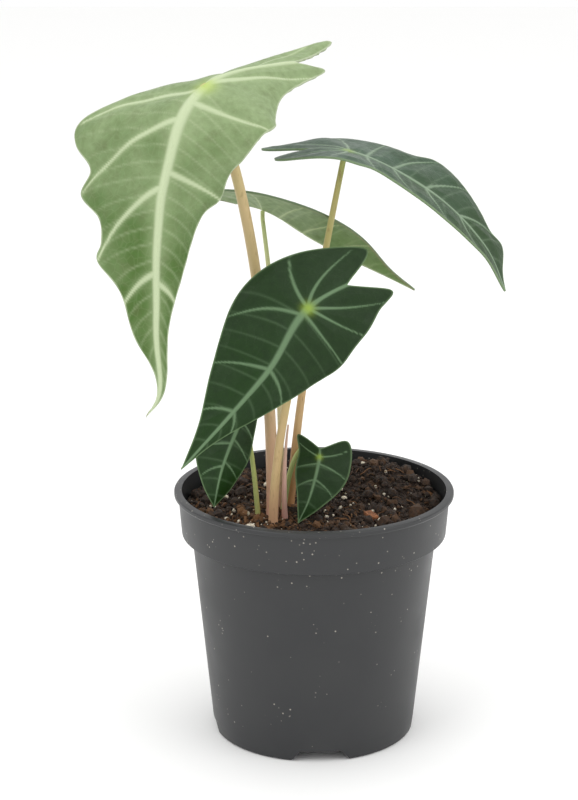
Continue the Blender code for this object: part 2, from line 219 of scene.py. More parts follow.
def mesh_piece(
    name: str, points: np.ndarray, faces: Sequence[Sequence[int]]
) -> bpy.types.Object:
    """Make an object from points in millimetres.

    Args:
        name: the piece's name.
        points: one row for each vertex.
        faces: vertex numbers of each face, turning so that it looks outwards.

    Returns:
        The object, still in millimetres.
    """
    mesh = bpy.data.meshes.new(name)
    turned = [tuple(int(corner) for corner in face) for face in faces]
    mesh.from_pydata(np.asarray(points).tolist(), [], turned)
    mesh.update()
    piece = bpy.data.objects.new(name, mesh)
    bpy.context.scene.collection.objects.link(piece)
    return piece


def put_attribute(piece: bpy.types.Object, name: str, values: np.ndarray) -> None:
    """Store one number for each vertex under a name."""
    made = piece.data.attributes.new(name, "FLOAT", "POINT")
    made.data.foreach_set("value", np.asarray(values, np.float32))


def finish_piece(piece: bpy.types.Object, slot: str, *nodes: str) -> None:
    """Hand a piece to the frame and report it.

    Args:
        piece: the finished object.
        slot: the record's material slot; not used.
        nodes: the CAD nodes that it stands for.
    """
    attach(piece, BODY)
    if nodes:
        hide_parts(*nodes)
    LOG.info("%s: %d faces", piece.name, len(piece.data.polygons))


def smooth_path(points: Sequence[Sequence[float]], steps: int) -> np.ndarray:
    """Draw a smooth line through every point.

    Args:
        points: rows of any width.
        steps: samples on each stretch.

    Returns:
        The line's samples, both ends with them.
    """
    given = np.array(points, float)
    padded = np.vstack([2 * given[0] - given[1], given, 2 * given[-1] - given[-2]])
    found = []
    for first in range(len(given) - 1):
        before, start, end, after = padded[first : first + 4]
        for t in np.linspace(0, 1, steps, endpoint=False):
            linear = (end - before) * t
            square = (2 * before - 5 * start + 4 * end - after) * t**2
            cube = (3 * start - before - 3 * end + after) * t**3
            found.append(0.5 * (2 * start + linear + square + cube))
    found.append(given[-1])
    return np.array(found)


def distances(line: np.ndarray) -> np.ndarray:
    """Return how far each sample lies along its line."""
    return np.concatenate([[0.0], np.cumsum(np.linalg.norm(np.diff(line, axis=0), axis=1))])


def along(reach: np.ndarray, values: np.ndarray, u: np.ndarray) -> np.ndarray:
    """Read rows of values at distances u along a line whose own distances are reach."""
    return np.stack([np.interp(u, reach, column) for column in values.T], axis=1)


def resample(line: np.ndarray, count: int) -> np.ndarray:
    """Return count points evenly spaced along a line, ends included."""
    reach = distances(line)
    return along(reach, line, np.linspace(0, reach[-1], count))


def unit(rows: np.ndarray) -> np.ndarray:
    """Return each row at a length of 1."""
    return rows / np.maximum(np.linalg.norm(rows, axis=1), 1e-9)[:, None]


def nearest(points: np.ndarray, line: np.ndarray) -> tuple[np.ndarray, np.ndarray]:
    """Measure from each point to a line's samples.

    Args:
        points: flat points.
        line: the line's samples.

    Returns:
        The shortest distance, and how far along the line that is, from 0 to 1.
    """
    apart = np.linalg.norm(points[:, None, :] - line[None, :, :], axis=2)
    best = apart.argmin(axis=1)
    return apart[np.arange(len(points)), best], best / (len(line) - 1)


# ------------------------------ finishes


@dataclass(frozen=True)
class LeafSkin:
    """Living leaf: a waxy cuticle over green tissue, with pale veins and a pale rim."""

    name: str
    # deep is the green towards the tip, partly painted shade; light is the paler green near the
    # joint, partly painted sheen.
    deep: str
    light: str
    vein: str
    halo: str
    rim: str
    joint: str
    blotch: str
    gloss: float
    halo_share: float
    net_share: float
    vein_share: float
    sheen: float

    def dress(self) -> bpy.types.Material:
        """Build the material.

        Returns:
            The leaf material, which reads the blade's own flat drawing and its vein attributes.
        """
        # Waxy leaf cuticle: soft wide highlights over a pale green near the joint that deepens,
        # with a drifting noise, towards the tip; the pale end is painted sheen and the deep end
        # painted shade, over the leaf's own greens.
        # On that, a fine pale net of small veins, broad main veins in a soft halo, and a thin pale
        # rim.
        made, tree, shader = new_material(self.name)
        flat = add_node(tree, "UVMap", uv_map="flat").outputs[0]
        marks = {
            key: add_node(tree, "Attribute", attribute_name=key).outputs["Fac"]
            for key in ("rib", "halo", "rim", "joint", "reach")
        }
        drift, mottle, patch, cells = (
            add_node(tree, kind, {"Vector": flat, "Scale": FLAT_UNIT / size, **more}, **settings)
            .outputs[0]
            for kind, size, more, settings in (
                ("TexNoise", 22, {"Detail": 2.0}, {}),
                ("TexNoise", 3, {"Detail": 4.0}, {}),
                ("TexNoise", 9, {"Detail": 3.0}, {}),
                ("TexVoronoi", 3.4, {}, {"feature": "DISTANCE_TO_EDGE"}),
            )
        )
        net = add_node(tree, "MapRange", {0: cells, 1: 0.0, 2: 0.09, 3: 1.0, 4: 0.0}).outputs[0]
        # Painted sheen and shade: the share of the deeper green grows from the petiole's joint
        # towards the tip, so the blade is paler where it stands in for sheen and darker where it
        # stands in for shade.
        sheen_to_shade, height = (
            add_node(tree, "Math", {0: first, 1: second}, operation="ADD").outputs[0]
            for first, second in ((drift, marks["reach"]), (net, mottle))
        )
        layers = [
            (sheen_to_shade, (0.5, 1.15), WHOLE, self.deep),
            (mottle, (0.35, 0.75), (0.0, 0.35), self.blotch),
            (patch, (0.56, 0.72), (0.0, 0.4), self.blotch),
            (net, WHOLE, (0.0, self.net_share), self.halo),
            (marks["halo"], WHOLE, (0.0, self.halo_share), self.halo),
            (marks["rib"], WHOLE, (0.0, self.vein_share), self.vein),
            (marks["joint"], WHOLE, WHOLE, self.joint),
            (marks["rim"], WHOLE, WHOLE, self.rim),
        ]
        rough = (mottle, (0.3, 0.7), (self.gloss - 0.06, self.gloss + 0.1))
        Coat(self.light, layers, rough, height, 0.2, 0.3).lay(tree)
        shader.inputs["Specular IOR Level"].default_value = self.sheen
        return made


@dataclass(frozen=True)
class StalkSkin:
    """Stalk flesh: smooth skin whose colour turns from foot to top, with fine flecks."""

    name: str
    foot: str
    middle: str
    top: str
    fleck: str
    gloss: float = 0.4

    def dress(self) -> bpy.types.Material:
        """Build the material.

        Returns:
            The stalk material, which reads how far up the stalk a point lies.
        """
        # Smooth succulent skin: a soft sheen, with colour bands along the stalk and brown flecks.
        made, tree, _ = new_material(self.name)
        up = add_node(tree, "Attribute", attribute_name="reach").outputs["Fac"]
        place = add_node(tree, "TexCoord").outputs["Object"]
        longer = {"Vector": place, "Scale": (1.0, 1.0, 0.22)}
        stretched = add_node(tree, "Mapping", longer).outputs[0]
        fleck, streak = (
            add_node(
                tree, "TexNoise", {"Vector": stretched, "Scale": 1 / (size * MM), "Detail": detail}
            ).outputs[0]
            for size, detail in ((1.1, 3.0), (5, 2.0))
        )
        layers = [
            (up, (0.06, 0.32), WHOLE, self.middle),
            (up, (0.5, 1.0), WHOLE, self.top),
            (streak, (0.45, 0.7), (0.0, 0.14), self.foot),
            (fleck, (0.6, 0.7), (0.0, 0.45), self.fleck),
        ]
        rough = (fleck, (0.3, 0.7), (self.gloss, self.gloss + 0.15))
        Coat(self.foot, layers, rough, streak, 0.15, 0.4).lay(tree)
        return made


@dataclass(frozen=True)
class MouldedPolypropylene:
    """Grey polypropylene, injection moulded, with dust and peat specks on it."""

    name: str = "moulded_polypropylene_grey"
    body: str = "#242527"
    worn: str = "#2a2b2c"
    dust: str = "#b9b2a6"
    dot_spacing: float = 2.6

    def dress(self) -> bpy.types.Material:
        """Build the material.

        Returns:
            The pot's material, with more dust towards its rim.
        """
        # Moulded polypropylene: satin, a faint orange-peel grain, and pale specks of dried peat.
        made, tree, _ = new_material(self.name)
        place = add_node(tree, "TexCoord").outputs["Object"]
        high = add_node(tree, "SeparateXYZ", {0: place}).outputs["Z"]
        spacing = {"Vector": place, "Scale": 1 / (self.dot_spacing * MM)}
        dots = add_node(tree, "TexVoronoi", spacing).outputs["Distance"]
        cloud, grain, rare = (
            add_node(
                tree, "TexNoise", {"Vector": place, "Scale": 1 / (size * MM), "Detail": detail}
            ).outputs[0]
            for size, detail in ((26, 3.0), (0.9, 2.0), (9, 1.0))
        )
        more = add_node(tree, "MapRange", {0: high, 1: 0.08, 2: 0.092, 3: 0.0, 4: 0.12}).outputs[0]
        likely = add_node(tree, "Math", {0: rare, 1: more}, operation="ADD").outputs[0]
        speck, chance = (
            add_node(tree, "MapRange", {0: source, 1: low, 2: high, 3: first, 4: last}).outputs[0]
            for source, low, high, first, last in (
                (dots, 0.1, 0.16, 1.0, 0.0),
                (likely, 0.58, 0.66, 0.0, 0.6),
            )
        )
        speck = add_node(tree, "Math", {0: speck, 1: chance}, operation="MULTIPLY").outputs[0]
        layers = [(cloud, (0.35, 0.7), WHOLE, self.worn), (speck, WHOLE, WHOLE, self.dust)]
        rough = (cloud, (0.3, 0.7), (0.36, 0.5))
        Coat(self.body, layers, rough, grain, 0.05, 0.35).lay(tree)
        return made


@dataclass(frozen=True)
class Peat:
    """Damp peat: a finish that is shared by the bed, its crumbs and its fibres."""

    name: str = "damp_milled_peat"
    dark: str = "#1a130e"
    brown: str = "#423024"
    orange: str = "#74502f"
    crumb: float = 1.2

    def dress(self) -> bpy.types.Material:
        """Build the material.

        Returns:
            The peat's material, which reads each crumb's own tone.
        """
        # Milled peat: no sheen, near-black where damp, with brown and orange-brown crumbs among it.
        made, tree, _ = new_material(self.name)
        place = add_node(tree, "TexCoord").outputs["Object"]
        tone = add_node(tree, "Attribute", attribute_name="tone").outputs["Fac"]
        crumbs = {"Vector": place, "Scale": 1 / (self.crumb * MM), "Detail": 5.0}
        grit = add_node(tree, "TexNoise", crumbs).outputs[0]
        layers = [
            (grit, (0.35, 0.7), WHOLE, self.brown),
            (tone, (0.55, 1.0), (0.0, 0.9), self.orange),
        ]
        Coat(self.dark, layers, (grit, (0.3, 0.7), (0.75, 0.98)), grit, 0.6, 0.8).lay(tree)
        return made


@dataclass(frozen=True)
class Crumbly:
    """A dry mineral or woody crumb: perlite, bark or the skin of the rootstock."""

    name: str
    light: str
    dark: str
    pore: float
    stretch: Point = (1.0, 1.0, 1.0)

    def dress(self) -> bpy.types.Material:
        """Build the material.

        Returns:
            The crumb's material.
        """
        # Dry and rough: open pores for blown perlite, long grain for bark, rings of fibre for the
        # corm.
        made, tree, _ = new_material(self.name)
        place = add_node(tree, "TexCoord").outputs["Object"]
        turned = add_node(tree, "Mapping", {"Vector": place, "Scale": self.stretch}).outputs[0]
        grain = {"Vector": turned, "Scale": 1 / (self.pore * MM), "Detail": 4.0}
        pores = add_node(tree, "TexNoise", grain).outputs[0]
        rough = (pores, (0.3, 0.7), (0.95, 0.8))
        layers = [(pores, (0.35, 0.6), WHOLE, self.light)]
        Coat(self.dark, layers, rough, pores, 0.3, 0.7).lay(tree)
        return made


# In each skin the first colour is the deeper green towards the tip, partly painted shade, and the
# second the paler green near the joint, partly painted sheen.
SAGE_UPPER = LeafSkin(
    "leaf_cuticle_sage",
    *("#436422", "#879b6e", "#bdcaa4", "#9fb184", "#bcc6a8", "#a6bc4c", "#58623a"),
    *(0.48, 0.4, 0.08, 0.9, 0.3),
)
DARK_UPPER = LeafSkin(
    "leaf_cuticle_dark",
    *("#18340c", "#1c3214", "#74906c", "#35522e", "#647d56", "#8ea636", "#12240f"),
    *(0.46, 0.22, 0.03, 0.66, 0.2),
)
BLUE_UPPER = LeafSkin(
    "leaf_cuticle_blue_green",
    *("#28421f", "#3a5440", "#8ea488", "#4c6446", "#7b906c", "#84a03c", "#22361f"),
    *(0.38, 0.3, 0.04, 0.7, 0.3),
)
SAGE_UNDER = LeafSkin(
    "leaf_underside_sage",
    *("#6b8650", "#859a6e", "#b6c496", "#98aa7c", "#8a7f60", "#9ab058", "#4d5f34"),
    *(0.55, 0.3, 0.06, 0.8, 0.3),
)


# ------------------------------ blades


@dataclass
class Blade:
    """A blade, drawn flat with u along its midrib and v across it, then carried on to a route."""

    name: str
    upper: LeafSkin
    midrib: list[Point]
    faces: list[Point]
    sinus: float
    left: list[Flat]
    right: list[Flat]
    lean: list[Point]
    veins: dict[Half, list[Flat]]
    fan_ends: tuple[int, int]
    vein_width: float
    quilt: float
    slot: str = "dark_leaf"
    under: LeafSkin = SAGE_UNDER
    ease: float = 16
    thickness: float = 0.9
    fine_spacing: float = 8.0
    rows: tuple[int, int] = (70, 130)
    columns: int = 56

    def spine(self) -> tuple[np.ndarray, np.ndarray]:
        """Draw the midrib's smooth route.

        Returns:
            The route, and the distance of each sample from the petiole's joint.
        """
        route = smooth_path(self.midrib, SPINE_STEPS)
        reach = distances(route)
        return route, reach - reach[SPINE_STEPS]

    def length(self) -> float:
        """Return how long the blade is from the petiole's joint to its tip."""
        return float(self.spine()[1][-1])

    def bent(self, flat: np.ndarray) -> np.ndarray:
        """Carry flat points on to the blade's surface in space.

        Args:
            flat: rows of u and v.

        Returns:
            Rows of x, y and z in millimetres.
        """
        u, v = np.asarray(flat, float).T
        route, reach = self.spine()
        past = np.minimum(u - reach[0], 0.0)[:, None]
        start = along(reach, route, u) + past * unit(route[1:2] - route[0:1])
        heading = unit(along(reach, route, u + self.ease) - along(reach, route, u - self.ease))
        share = np.interp(u, [reach[0], reach[-1]], [0.0, 1.0])[:, None]
        at_lobes, at_tip = unit(np.array(self.faces, float))
        face = unit(at_lobes * (1 - share) + at_tip * share)
        normal = unit(face - (heading * face).sum(axis=1)[:, None] * heading)
        to_left = np.cross(normal, heading)
        leans = smooth_path(self.lean, OUTLINE_STEPS)
        left_lean, right_lean = along(leans[:, 0], leans[:, 1:], u).T
        lean = np.radians(np.where(v > 0, left_lean, right_lean))
        out = (v * np.cos(lean))[:, None] * to_left
        return start + out + (np.abs(v) * np.sin(lean))[:, None] * normal

    def margin(self, half: Half) -> np.ndarray:
        """Draw one half's smooth outline.

        Args:
            half: which half.

        Returns:
            Flat samples from the notch between the lobes round to the tip.
        """
        points = self.left if half is Half.LEFT else self.right
        drawn = [(u, half.value * v) for u, v in points]
        return smooth_path([(-self.sinus, 0), *drawn, (self.length(), 0)], OUTLINE_STEPS)

    def half_grid(self, half: Half, fan_end: int) -> np.ndarray:
        """Lay one half out as rows from the midrib to the margin.

        Args:
            half: which half.
            fan_end: how many outline points the fan round the petiole's joint reaches past.

        Returns:
            Flat points by row, by column.
        """
        margin = self.margin(half)
        fan_rows, rib_rows = self.rows
        split = OUTLINE_STEPS * fan_end
        fan = resample(margin[: split + 1], fan_rows)
        ribs = resample(margin[split:], rib_rows)[1:]
        inner_u = self.length() * (np.arange(1, len(ribs) + 1) / len(ribs)) ** 1.1
        midline = np.column_stack([inner_u, np.zeros(len(ribs))])
        inner = np.vstack([np.zeros((fan_rows, 2)), midline])
        outer = np.vstack([fan, ribs])
        steps = np.linspace(0, 1, self.columns + 1)[None, :, None]
        return inner[:, None, :] * (1 - steps) + outer[:, None, :] * steps

    def fine_ends(self) -> dict[Half, list[Flat]]:
        """Space the thin veins evenly up the blade, between the main ones.

        Returns:
            Where each starts and ends along the midrib, by half.
        """
        starts = np.arange(0.5 * self.fine_spacing, 0.86 * self.length(), self.fine_spacing)
        ends = [(float(u), float(u) + 0.07 * self.length()) for u in starts]
        return {half: ends for half in Half}

    def vein_lines(self, veins: dict[Half, list[Flat]]) -> list[np.ndarray]:
        """Draw side veins.

        Args:
            veins: where each starts along the midrib, and how far along the blade it reaches
                the margin, by half.

        Returns:
            Each vein as an arch from the midrib to the margin.
        """
        lines = []
        for half, ends in veins.items():
            outline = smooth_path(self.left if half is Half.LEFT else self.right, OUTLINE_STEPS)
            for start, end in ends:
                reach_out = 0.97 * float(np.interp(end, outline[:, 0], outline[:, 1])) * half.value
                t = np.linspace(0, 1, VEIN_SAMPLES)[:, None]
                first = np.array([start, 0.0])
                pull = np.array([start + 0.3 * (end - start), 0.62 * reach_out])
                last = np.array([end, reach_out])
                lines.append(first * (1 - t) ** 2 + 2 * pull * t * (1 - t) + last * t**2)
        return lines

    def marks(self, flat: np.ndarray) -> dict[str, np.ndarray]:
        """Work out where the veins, the rim and the joint show.

        Args:
            flat: rows of u and v.

        Returns:
            Values from 0 to 1 for each mark, and the relief in millimetres.
        """
        length = self.length()
        reach = np.clip(flat[:, 0] / length, -0.3, 1)
        behind = 0.45 + 0.55 * np.exp(np.minimum(flat[:, 0], 0.0) / (3 * self.vein_width))
        thick = self.vein_width * (1.35 - 1.0 * np.clip(reach, 0, 1)) * behind
        spine_gap = np.hypot(flat[:, 1], np.minimum(flat[:, 0] + self.sinus, 0.0))
        rib = np.exp(-((spine_gap / thick) ** 4))
        halo = np.exp(-((spine_gap / (2.4 * thick)) ** 2))
        gap = spine_gap - thick
        for line in self.vein_lines(self.veins):
            apart, share = nearest(flat, line)
            wide = 0.62 * self.vein_width * (1.15 - 0.8 * share)
            rib = np.maximum(rib, 0.9 * np.exp(-((apart / wide) ** 4)))
            halo = np.maximum(halo, np.exp(-((apart / (2.2 * wide)) ** 2)))
            gap = np.minimum(gap, apart)
        for line in self.vein_lines(self.fine_ends()):
            apart, share = nearest(flat, line)
            fine = 0.3 * (1 - 0.5 * share) * np.exp(-((apart / FINE_WIDTH) ** 2))
            rib = np.maximum(rib, fine)
        outline = np.vstack([resample(self.margin(half), MARGIN_SAMPLES) for half in Half])
        margin_gap, _ = nearest(flat, outline)
        rim = np.clip(1.2 - margin_gap / RIM_WIDTH, 0, 0.85)
        joint = 0.75 * np.exp(-((np.hypot(*flat.T) / (2.2 * self.vein_width)) ** 2))
        fade = np.clip(margin_gap / RELIEF_FADE, 0, 1)
        swell = 1 - np.exp(-((np.maximum(gap, 0) / QUILT_RISE) ** 2))
        wave = 0.4 * np.sin(0.21 * flat[:, 0] + 1) * np.sin(0.24 * flat[:, 1])
        relief = fade * (self.quilt * (swell + wave) + 0.3 * rib)
        marks = {"rib": rib, "halo": halo, "rim": rim, "joint": joint, "reach": reach}
        return {**marks, "relief": relief}

    def build(self) -> bpy.types.Object:
        """Model the blade.

        Returns:
            The blade, with its upper and lower skins, in metres.
        """
        builder = bmesh.new()
        for half, fan_end in zip(Half, self.fan_ends):
            grid = self.half_grid(half, fan_end)
            verts = [[builder.verts.new((u, v, 0)) for u, v in row] for row in grid]
            for near, far in zip(verts, verts[1:]):
                for step in range(self.columns):
                    corners = (near[step], far[step], far[step + 1], near[step + 1])
                    builder.faces.new(corners if half is Half.LEFT else corners[::-1])
        bmesh.ops.remove_doubles(builder, verts=builder.verts, dist=0.01)
        bmesh.ops.dissolve_degenerate(builder, edges=builder.edges, dist=0.005)
        mesh = bpy.data.meshes.new(self.name + "_leaf")
        builder.to_mesh(mesh)
        builder.free()
        piece = bpy.data.objects.new(self.name + "_leaf", mesh)
        bpy.context.scene.collection.objects.link(piece)
        flat = np.empty(len(mesh.vertices) * 3)
        mesh.vertices.foreach_get("co", flat)
        flat = flat.reshape(-1, 3)[:, :2]
        marks = self.marks(flat)
        place = self.bent(flat)
        ahead, across = (
            self.bent(flat + step) - self.bent(flat - step)
            for step in ([SLOPE_STEP, 0], [0, SLOPE_STEP])
        )
        normal = unit(np.cross(ahead, across))
        place = place + normal * marks.pop("relief")[:, None]
        mesh.vertices.foreach_set("co", place.ravel())
        for key, values in marks.items():
            put_attribute(piece, key, values)
        corner = np.empty(len(mesh.loops), int)
        mesh.loops.foreach_get("vertex_index", corner)
        flat_map = mesh.uv_layers.new(name="flat").data
        flat_map.foreach_set("uv", (flat[corner] / FLAT_UNIT).ravel())
        mesh.update()
        for skin in (self.upper, self.under):
            mesh.materials.append(skin.dress())
        in_metres(piece)
        solid = piece.modifiers.new("Thickness", "SOLIDIFY")
        solid.thickness = self.thickness * MM
        solid.offset = -1.0
        solid.material_offset = 1
        bpy.ops.object.modifier_apply(modifier=solid.name)
        bpy.ops.object.shade_smooth()
        finish_piece(piece, self.slot, self.name)
        return piece


# ------------------------------ stalks


@dataclass
class Stalk:
    """A round stalk on one curve, with a swollen foot, run on into its blade."""

    name: str
    slot: str
    skin: StalkSkin
    curve: list[Point]
    radii: Flat
    into: Point | None = None
    swelling: float = 0.25
    swelling_height: float = 0.05
    sides: int = 20
    rings: int = 110

    def route(self) -> np.ndarray:
        """Draw the stalk's centre line, run on into the blade where it has one.

        Returns:
            Evenly spaced points.
        """
        start, leaving, arriving, end = np.array(self.curve, float)
        t = np.linspace(0, 1, STALK_SAMPLES)[:, None]
        first = start * (1 - t) ** 3 + 3 * leaving * t * (1 - t) ** 2
        line = first + 3 * arriving * t**2 * (1 - t) + end * t**3
        if self.into is not None:
            line = np.vstack([line, np.array(self.into, float)[None, :]])
        return resample(line, self.rings)

    def build(self) -> bpy.types.Object:
        """Model the stalk: a circle swept along its route, closed at both ends.

        Returns:
            The stalk, in metres.
        """
        line = self.route()
        reach = distances(line) / distances(line)[-1]
        foot, top = self.radii
        swollen = self.swelling * foot * np.exp(-reach / self.swelling_height)
        radius = foot + (top - foot) * reach + swollen
        points = []
        direction = Vector(line[1] - line[0]).normalized()
        side = direction.orthogonal().normalized()
        for index, centre in enumerate(line):
            ahead = line[min(index + 1, len(line) - 1)] - line[max(index - 1, 0)]
            heading = Vector(ahead).normalized()
            side = (direction.rotation_difference(heading) @ side).normalized()
            direction = heading
            up = direction.cross(side)
            for step in range(self.sides):
                angle = math.tau * step / self.sides
                ridge = 1 + 0.025 * math.sin(5 * angle + 6 * reach[index])
                out = side * math.cos(angle) + up * math.sin(angle)
                points.append(Vector(centre) + out * radius[index] * ridge)
        faces = []
        for ring in range(len(line) - 1):
            for step in range(self.sides):
                after = (step + 1) % self.sides
                low, high = ring * self.sides, (ring + 1) * self.sides
                faces.append((low + step, low + after, high + after, high + step))
        last = (len(line) - 1) * self.sides
        faces.append(tuple(range(self.sides))[::-1])
        faces.append(tuple(range(last, last + self.sides)))
        piece = mesh_piece(self.name + "_stem", np.array(points), faces)
        put_attribute(piece, "reach", np.repeat(reach, self.sides))
        piece.data.materials.append(self.skin.dress())
        in_metres(piece)
        bpy.ops.object.shade_smooth_by_angle(angle=math.radians(50))
        finish_piece(piece, self.slot, self.name)
        return piece


# ------------------------------ pot


@dataclass
class Pot:
    """A round nursery pot, 120 mm across its rim, with four drainage channels under its floor."""

    height: float = 108.0
    rim: float = 60.0
    collar_top: float = 58.2
    collar_foot: float = 56.9
    collar_at: float = 88.7
    lip: float = 2.6
    body_top: float = 52.5
    base: float = 43.7
    wall: float = 1.2
    floor: float = 1.5
    turn: float = math.radians(3.75)
    channel_height: float = 4.6
    channel_wide: float = 25.0
    channel_narrow: float = 17.0
    channel_start: float = 19.0
    cut_below: float = 2.0
    cut_past: float = 20.0
    sides: int = 160
    finish: MouldedPolypropylene = field(default_factory=MouldedPolypropylene)

    def taper(self) -> float:
        """Return how much wider the body gets for each millimetre of height."""
        return (self.body_top - self.base) / (self.collar_at - 2.0)

    def turned(self, name: str, profile: list[Flat]) -> bpy.types.Object:
        """Extrude a disc up through a profile.

        Args:
            name: the piece's name.
            profile: radius and height of each ring, from the bottom face to the last one.

        Returns:
            The closed solid, in millimetres.
        """
        deselect()
        radius, height = profile[0]
        bpy.ops.mesh.primitive_circle_add(
            vertices=self.sides, radius=radius, fill_type="NGON", location=(0, 0, height)
        )
        piece = bpy.context.active_object
        piece.name = name
        bpy.ops.object.transform_apply(location=True, rotation=True, scale=True)
        bpy.ops.object.mode_set(mode="EDIT")
        bpy.ops.mesh.select_all(action="SELECT")
        for (near, low), (far, high) in zip(profile, profile[1:]):
            bpy.ops.mesh.extrude_region_move(TRANSFORM_OT_translate={"value": (0, 0, high - low)})
            grow = far / near
            bpy.ops.transform.resize(value=(grow, grow, 1), center_override=(0, 0, high))
        bpy.ops.mesh.select_all(action="SELECT")
        bpy.ops.mesh.normals_make_consistent(inside=False)
        bpy.ops.object.mode_set(mode="OBJECT")
        return piece

    def channels(self, name: str, spare: float) -> list[bpy.types.Object]:
        """Make the four channel bars as cutters.

        Args:
            name: the cutters' name.
            spare: how much fatter than the channels they are.

        Returns:
            One cutter for each channel.
        """
        made = []
        low = -self.cut_below
        top = self.channel_height + spare
        wide, narrow = self.channel_wide / 2 + spare, self.channel_narrow / 2 + spare
        flare = (wide - narrow) / top
        near, far = self.channel_start - spare, self.base + self.cut_past
        for index in range(4):
            deselect()
            middle = ((near + far) / 2, 0, (low + top) / 2)
            bpy.ops.mesh.primitive_cube_add(size=1, location=middle)
            piece = bpy.context.active_object
            piece.name = f"{name}_{index}"
            piece.scale = (far - near, 2 * (wide - low * flare), top - low)
            bpy.ops.object.transform_apply(location=True, rotation=True, scale=True)
            for vertex in piece.data.vertices:
                if vertex.co.z > 0:
                    vertex.co.y = math.copysign(narrow, vertex.co.y)
            piece.rotation_euler = (0, 0, self.turn + index * math.pi / 2 - math.pi / 2)
            bpy.ops.object.transform_apply(location=True, rotation=True, scale=True)
            made.append(piece)
        return made

    def cut(self, piece: bpy.types.Object, cutters: list[bpy.types.Object]) -> None:
        """Cut solids out of a piece, and take the cutters away.

        Args:
            piece: the solid that is cut.
            cutters: what is cut out of it.
        """
        for cutter in cutters:
            boolean = piece.modifiers.new("Cut_" + cutter.name, "BOOLEAN")
            boolean.object = cutter
            boolean.solver = "EXACT"
            make_active(piece)
            bpy.ops.object.modifier_apply(modifier=boolean.name)
            bpy.data.objects.remove(cutter, do_unlink=True)

    def build(self) -> bpy.types.Object:
        """Model the pot: a turned body, hollowed, with channels moulded under its floor.

        Returns:
            The pot, in metres.
        """
        shoulder = self.height - self.lip
        outside = [
            (self.base - 0.8, 0.0),
            (self.base - 0.25, 0.25),
            (self.base, 0.8),
            # A ring just above the channels keeps the cuts out of the long wall faces.
            (self.base + self.taper() * (self.channel_height + 1), self.channel_height + 1.8),
            (self.body_top, self.collar_at - 1.2),
            (self.collar_foot - 0.5, self.collar_at),
            (self.collar_foot - 0.1, self.collar_at + 0.3),
            (self.collar_foot, self.collar_at + 0.8),
            (self.collar_top, shoulder),
            (self.rim - 0.5, shoulder + 0.2),
            (self.rim, shoulder + 0.9),
            (self.rim, self.height - 0.6),
            (self.rim - 0.25, self.height - 0.15),
            (self.rim - 0.7, self.height),
        ]
        inside = [
            (self.base - self.wall, self.floor),
            (self.body_top - self.wall, self.collar_at - 0.6),
            (self.collar_foot - self.wall, self.collar_at + 1.4),
            (self.collar_top - self.wall, self.height + 4),
        ]
        piece = self.turned("pot_body", outside)
        hollow = self.turned("pot_inside", inside)
        self.cut(hollow, self.channels("channel_roof", self.wall))
        self.cut(piece, [hollow])
        self.cut(piece, self.channels("channel", 0.0))
        piece.data.materials.clear()
        piece.data.materials.append(self.finish.dress())
        in_metres(piece)
        bpy.ops.object.shade_smooth_by_angle(angle=math.radians(28))
        finish_piece(piece, "pot_plastic", "pot")
        return piece


# ------------------------------ potting mix


